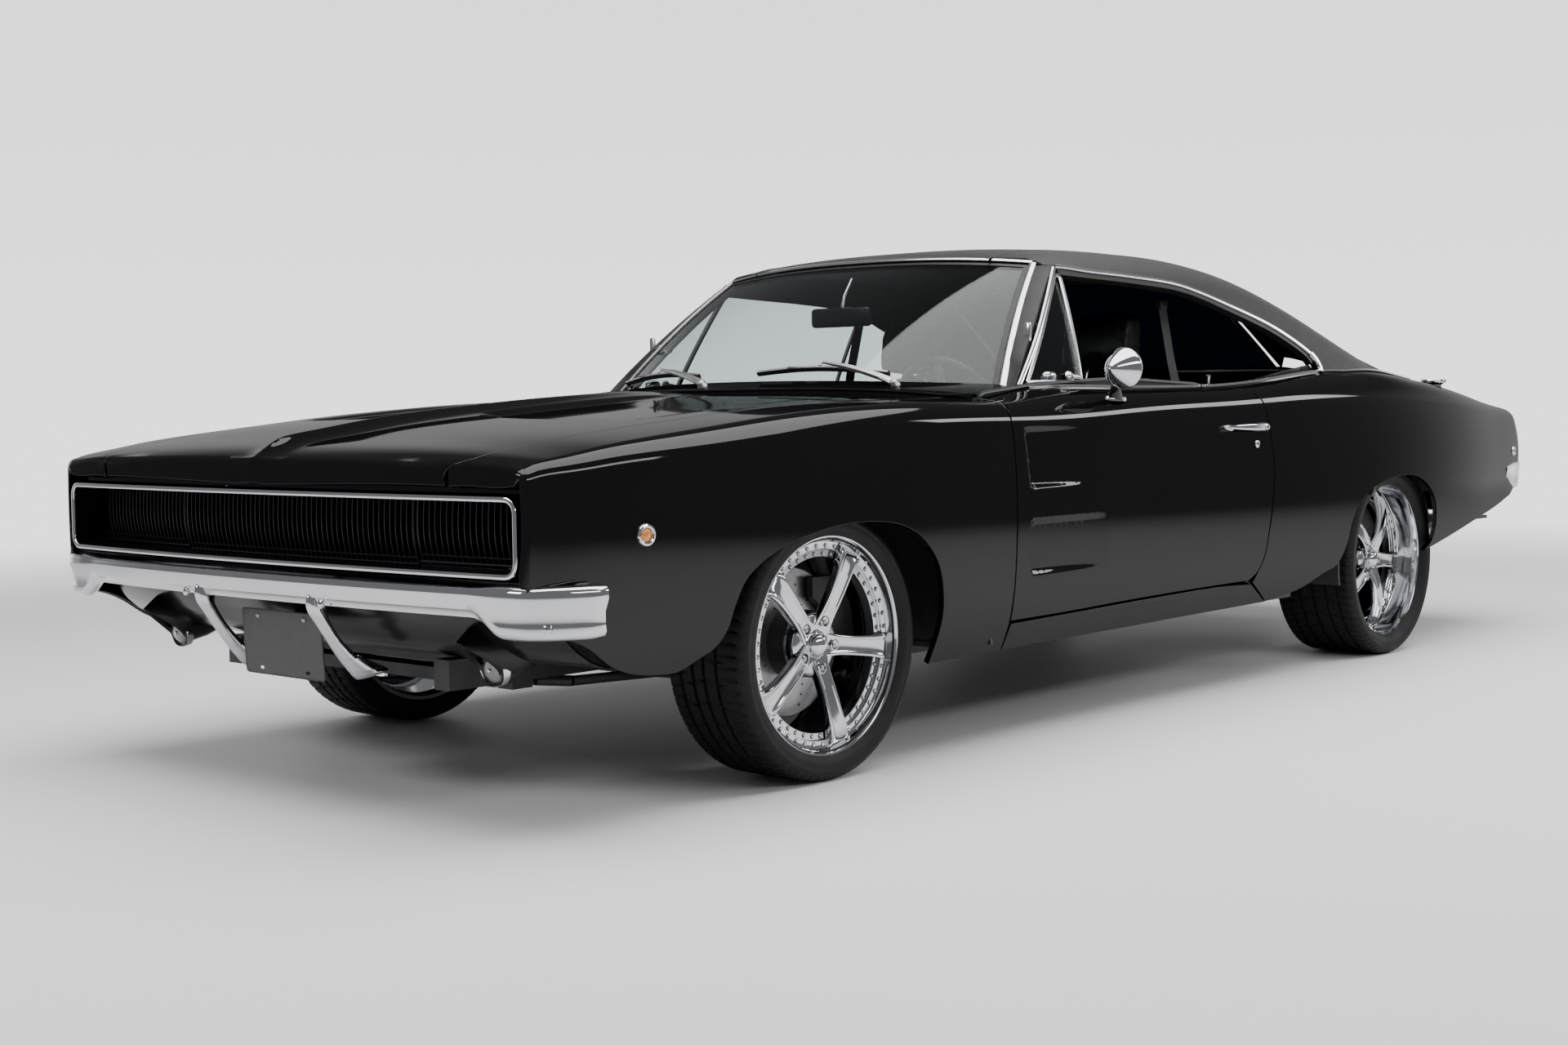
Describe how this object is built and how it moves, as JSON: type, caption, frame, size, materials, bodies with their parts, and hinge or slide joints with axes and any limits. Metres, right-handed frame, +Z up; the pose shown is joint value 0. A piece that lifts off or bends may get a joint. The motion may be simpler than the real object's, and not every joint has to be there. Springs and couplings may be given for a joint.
{
  "type": "two-door muscle car",
  "caption": "Two-door hardtop muscle car with hidden headlamps, vinyl roof with sail panels, opening doors, hood and trunk, steered front wheels",
  "frame": {"origin": "on the floor under the middle of the car's overall box", "axes": "+X forward, +Y to the car's left, +Z up"},
  "size_m": [5.283, 1.942, 1.3509],
  "materials": {
    "black_paint": "deep gloss black lacquer",
    "vinyl": "grained black vinyl",
    "chrome": "bright chrome plate",
    "black_trim": "satin black",
    "lamp_glass": "clear fluted lens",
    "red_lens": "red lens",
    "glass": "clear",
    "polished_alloy": "polished",
    "tyre": "satin rubber",
    "leather": "black leather",
    "dash_plastic": "grained black",
    "chassis_black": "satin black",
    "cast_iron": "painted casting",
    "steel": "bare steel",
    "plate_grey": "satin grey"
  },
  "bodies": {
    "car_body": {"chassis_rails": "chassis_black", "cowl": "black_paint", "dashboard": "dash_plastic", "deck_panel": "black_paint", "engine_driveline": "cast_iron", "exhaust": "steel", "floor_pan": "chassis_black", "front_bumper": "chrome", "front_fender_left": "black_paint", "front_fender_right": "black_paint", "front_lamps": "lamp_glass", "front_seats": "leather", "front_suspension": "chassis_black", "front_valance": "black_paint", "fuel_tank": "steel", "grille": "black_trim", "grille_frame": "chrome", "licence_plate": "plate_grey", "nose_panel": "black_paint", "quarter_glass_right": "glass", "quarter_left": "black_paint", "quarter_right": "black_paint", "radiator": "chassis_black", "rear_axle": "chassis_black", "rear_bumper": "chrome", "rear_seat": "leather", "rear_valance": "black_paint", "rear_window": "glass", "rockers": "black_paint", "roof": "vinyl", "roof_pillars": "vinyl", "tail_panel": "black_trim", "taillights": "red_lens", "wheel_housings": "chassis_black", "windshield": "glass", "wipers": "black_trim"},
    "door_left_body": {"door_left": "black_paint", "vent_window_left": "glass", "door_fittings_left": "chrome"},
    "door_right_body": {"door_right": "black_paint", "door_handle_right": "chrome", "door_glass_right": "glass"},
    "hood_body": {"hood": "black_paint"},
    "trunk_lid_body": {"trunk_lid": "black_paint"},
    "fuel_cap_body": {"fuel_cap": "chrome"},
    "headlamp_door_left_body": {"headlamp_door_left": "black_trim"},
    "headlamp_door_right_body": {"headlamp_door_right": "black_trim"},
    "steering_wheel_body": {"steering_wheel": "dash_plastic"},
    "knuckle_left_body": {"knuckle_left": "chassis_black"},
    "knuckle_right_body": {"knuckle_right": "chassis_black"},
    "wheel_front_left": {"rim_front_left": "polished_alloy", "tyre_front_left": "tyre"},
    "wheel_front_right": {"rim_front_right": "polished_alloy", "tyre_front_right": "tyre"},
    "wheel_rear_left": {"rim_rear_left": "polished_alloy", "tyre_rear_left": "tyre"},
    "wheel_rear_right": {"rim_rear_right": "polished_alloy", "tyre_rear_right": "tyre"}
  },
  "joints": [
    {"name": "door_left_hinge", "type": "hinge", "parent": "car_body", "child": "door_left_body", "pos_m": [0.991, 0.937, 0.6], "axis": [0, 0, -1], "range_deg": [0, 62]},
    {"name": "door_right_hinge", "type": "hinge", "parent": "car_body", "child": "door_right_body", "pos_m": [0.991, -0.937, 0.6], "axis": [0, 0, 1], "range_deg": [0, 62]},
    {"name": "hood_hinge", "type": "hinge", "parent": "car_body", "child": "hood_body", "pos_m": [1.04, 0, 0.948], "axis": [0, -1, 0], "range_deg": [0, 48]},
    {"name": "trunk_hinge", "type": "hinge", "parent": "car_body", "child": "trunk_lid_body", "pos_m": [-1.566, 0, 0.988], "axis": [0, 1, 0], "range_deg": [0, 60]},
    {"name": "fuel_cap_hinge", "type": "hinge", "parent": "car_body", "child": "fuel_cap_body", "pos_m": [-1.868, 0.72, 0.946], "axis": [1, 0, 0], "range_deg": [0, 80]},
    {"name": "headlamp_left_hinge", "type": "hinge", "parent": "car_body", "child": "headlamp_door_left_body", "pos_m": [2.492, 0.64, 0.692], "axis": [0, 1, 0], "range_deg": [0, 85]},
    {"name": "headlamp_right_hinge", "type": "hinge", "parent": "car_body", "child": "headlamp_door_right_body", "pos_m": [2.492, -0.64, 0.692], "axis": [0, 1, 0], "range_deg": [0, 85]},
    {"name": "steer_left", "type": "hinge", "parent": "car_body", "child": "knuckle_left_body", "pos_m": [1.6465, 0.7, 0.318], "axis": [0, 0, 1], "range_deg": [-30, 30]},
    {"name": "steer_right", "type": "hinge", "parent": "car_body", "child": "knuckle_right_body", "pos_m": [1.6465, -0.7, 0.318], "axis": [0, 0, 1], "range_deg": [-30, 30]},
    {"name": "steering_wheel_turn", "type": "hinge", "parent": "car_body", "child": "steering_wheel_body", "pos_m": [0.5, 0.36, 0.841], "axis": [-0.9053, 0, 0.4248], "range_deg": [-480, 480]},
    {"name": "wheel_front_left_spin", "type": "hinge", "parent": "knuckle_left_body", "child": "wheel_front_left", "pos_m": [1.6465, 0.75, 0.318], "axis": [0, 1, 0], "continuous": true},
    {"name": "wheel_rear_left_spin", "type": "hinge", "parent": "car_body", "child": "wheel_rear_left", "pos_m": [-1.3255, 0.73, 0.324], "axis": [0, 1, 0], "continuous": true},
    {"name": "wheel_front_right_spin", "type": "hinge", "parent": "knuckle_right_body", "child": "wheel_front_right", "pos_m": [1.6465, -0.75, 0.318], "axis": [0, 1, 0], "continuous": true},
    {"name": "wheel_rear_right_spin", "type": "hinge", "parent": "car_body", "child": "wheel_rear_right", "pos_m": [-1.3255, -0.73, 0.324], "axis": [0, 1, 0], "continuous": true}
  ],
  "couplings": [
    {"joint": "steer_right", "follows": "steer_left", "ratio": 1},
    {"joint": "steering_wheel_turn", "follows": "steer_left", "ratio": 16},
    {"joint": "headlamp_right_hinge", "follows": "headlamp_left_hinge", "ratio": 1}
  ]
}
